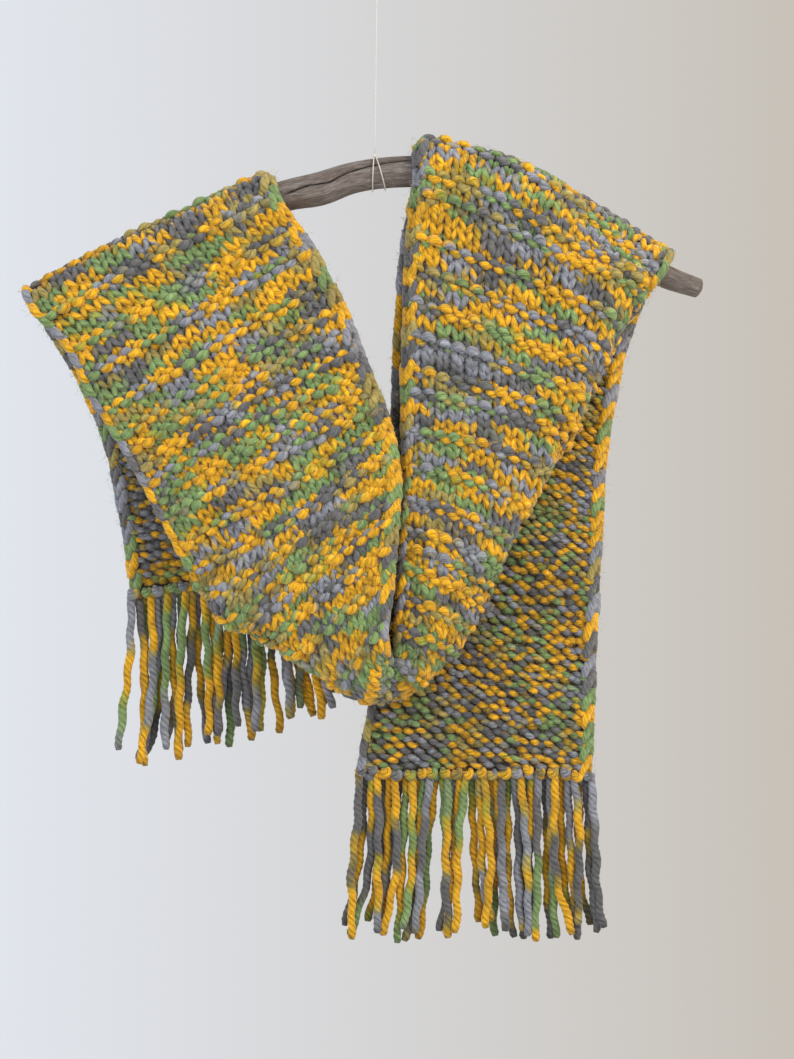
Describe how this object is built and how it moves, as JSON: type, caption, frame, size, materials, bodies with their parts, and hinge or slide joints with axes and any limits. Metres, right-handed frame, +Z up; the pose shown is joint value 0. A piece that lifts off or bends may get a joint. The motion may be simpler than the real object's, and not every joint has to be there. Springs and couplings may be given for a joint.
{
  "type": "knit scarf on a driftwood hanger",
  "caption": "Long chunky hand-knit scarf with fringed ends, draped in a hanging loop over an arched driftwood stick that hangs by a thin thread.",
  "frame": {"origin": "centre of the small loop at the top of the hanging thread", "axes": "+Z up along the thread, -Y towards the viewer of the picture, +X to the viewer's right"},
  "size_m": [0.5997, 0.0937, 0.8605],
  "materials": {
    "yarn": "soft plied wool, golden yellow, leaf green and blue-grey in short runs",
    "driftwood": "bare weathered grey-brown wood with long grain and cracks",
    "thread": "fine pale thread"
  },
  "bodies": {
    "root": {"left_tail": "yarn", "left_shoulder": "yarn", "left_front": "yarn", "loop_bottom": "yarn", "right_front": "yarn", "right_shoulder": "yarn", "right_tail": "yarn", "left_fringe": "yarn", "right_fringe": "yarn", "stick": "driftwood", "thread_tie": "thread", "hanging_thread": "thread"}
  },
  "joints": []
}
